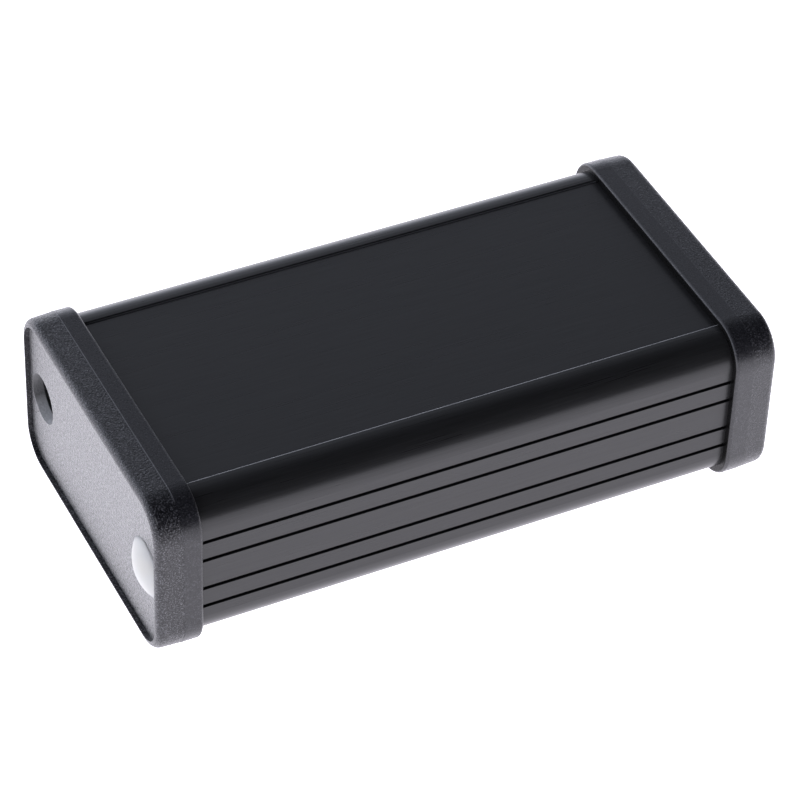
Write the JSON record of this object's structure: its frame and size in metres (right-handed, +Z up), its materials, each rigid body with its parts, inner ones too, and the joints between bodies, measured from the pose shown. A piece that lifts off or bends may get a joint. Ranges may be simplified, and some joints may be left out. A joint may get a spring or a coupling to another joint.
{
  "type": "pocket logic analyzer",
  "caption": "Pocket logic analyzer: circuit board in a black extruded aluminium case with plastic end caps, probe header and USB socket at the rear.",
  "frame": {"origin": "under the middle of the case, on the surface the end caps stand on", "axes": "+X along the case from the blank front cap to the rear cap with the connectors, +Y across it, +Z up through the cover plate"},
  "size_m": [0.0948, 0.0482, 0.0268],
  "materials": {
    "anodised_case": "satin black anodised",
    "anodised_plate": "satin black anodised, fine lengthwise grain",
    "cap_plastic": "fine spark-eroded texture",
    "black_screw": "black oxide",
    "white_plug": "smooth, slightly milky",
    "circuit_board": "green solder mask",
    "plated_steel": "nickel plated",
    "black_insulator": "moulded",
    "gold_contact": "gold flashed",
    "chip_epoxy": "moulded epoxy",
    "tinned_lead": "tinned",
    "resistor_body": "glazed",
    "capacitor_body": "ceramic",
    "tantalum_body": "moulded",
    "ferrite_body": "ferrite",
    "led_body": "translucent",
    "clear_pipe": "clear moulded polycarbonate"
  },
  "bodies": {
    "case": {"case_extrusion": "anodised_case"},
    "cover": {"cover_plate": "anodised_plate"},
    "front_end": {"front_cap": "cap_plastic"},
    "screw_front_far": {"front_screw_far": "black_screw"},
    "screw_front_near": {"front_screw_near": "black_screw"},
    "plug": {"screw_cover_plug": "white_plug"},
    "board": {"main_board": "circuit_board", "usb_socket_shell": "plated_steel", "usb_socket_insulator": "black_insulator", "usb_socket_contacts": "gold_contact", "probe_header_shroud": "black_insulator", "probe_header_pins": "gold_contact", "logic_chip": "chip_epoxy", "logic_chip_leads": "tinned_lead", "usb_controller_chip": "chip_epoxy", "usb_controller_leads": "tinned_lead", "memory_chip": "chip_epoxy", "memory_chip_leads": "tinned_lead", "input_buffer_chip": "chip_epoxy", "input_buffer_leads": "tinned_lead", "voltage_regulator": "chip_epoxy", "voltage_regulator_leads": "tinned_lead", "input_resistor_arrays": "resistor_body", "decoupling_capacitors": "capacitor_body", "bulk_capacitors": "tantalum_body", "power_inductor": "ferrite_body", "crystal_can": "plated_steel", "status_led": "led_body", "light_pipe": "clear_pipe"},
    "rear_end": {"rear_cap": "cap_plastic"},
    "screw_rear_far": {"rear_screw_far": "black_screw"},
    "screw_rear_near": {"rear_screw_near": "black_screw"}
  },
  "joints": [
    {"name": "cover_slide", "type": "slide", "parent": "case", "child": "cover", "axis": [-1, 0, 0], "range_m": [0, 0.084]},
    {"name": "front_cap_pull", "type": "slide", "parent": "cover", "child": "front_end", "axis": [-1, 0, 0], "range_m": [0, 0.014]},
    {"name": "front_screw_far_out", "type": "slide", "parent": "front_end", "child": "screw_front_far", "axis": [-1, 0, 0], "range_m": [0, 0.018]},
    {"name": "front_screw_near_out", "type": "slide", "parent": "front_end", "child": "screw_front_near", "axis": [-1, 0, 0], "range_m": [0, 0.018]},
    {"name": "plug_pull", "type": "slide", "parent": "screw_front_near", "child": "plug", "axis": [-1, 0, 0], "range_m": [0, 0.012]},
    {"name": "board_slide", "type": "slide", "parent": "case", "child": "board", "axis": [1, 0, 0], "range_m": [0, 0.082]},
    {"name": "rear_cap_pull", "type": "slide", "parent": "board", "child": "rear_end", "axis": [1, 0, 0], "range_m": [0, 0.016]},
    {"name": "rear_screw_far_out", "type": "slide", "parent": "rear_end", "child": "screw_rear_far", "axis": [1, 0, 0], "range_m": [0, 0.018]},
    {"name": "rear_screw_near_out", "type": "slide", "parent": "rear_end", "child": "screw_rear_near", "axis": [1, 0, 0], "range_m": [0, 0.018]}
  ]
}
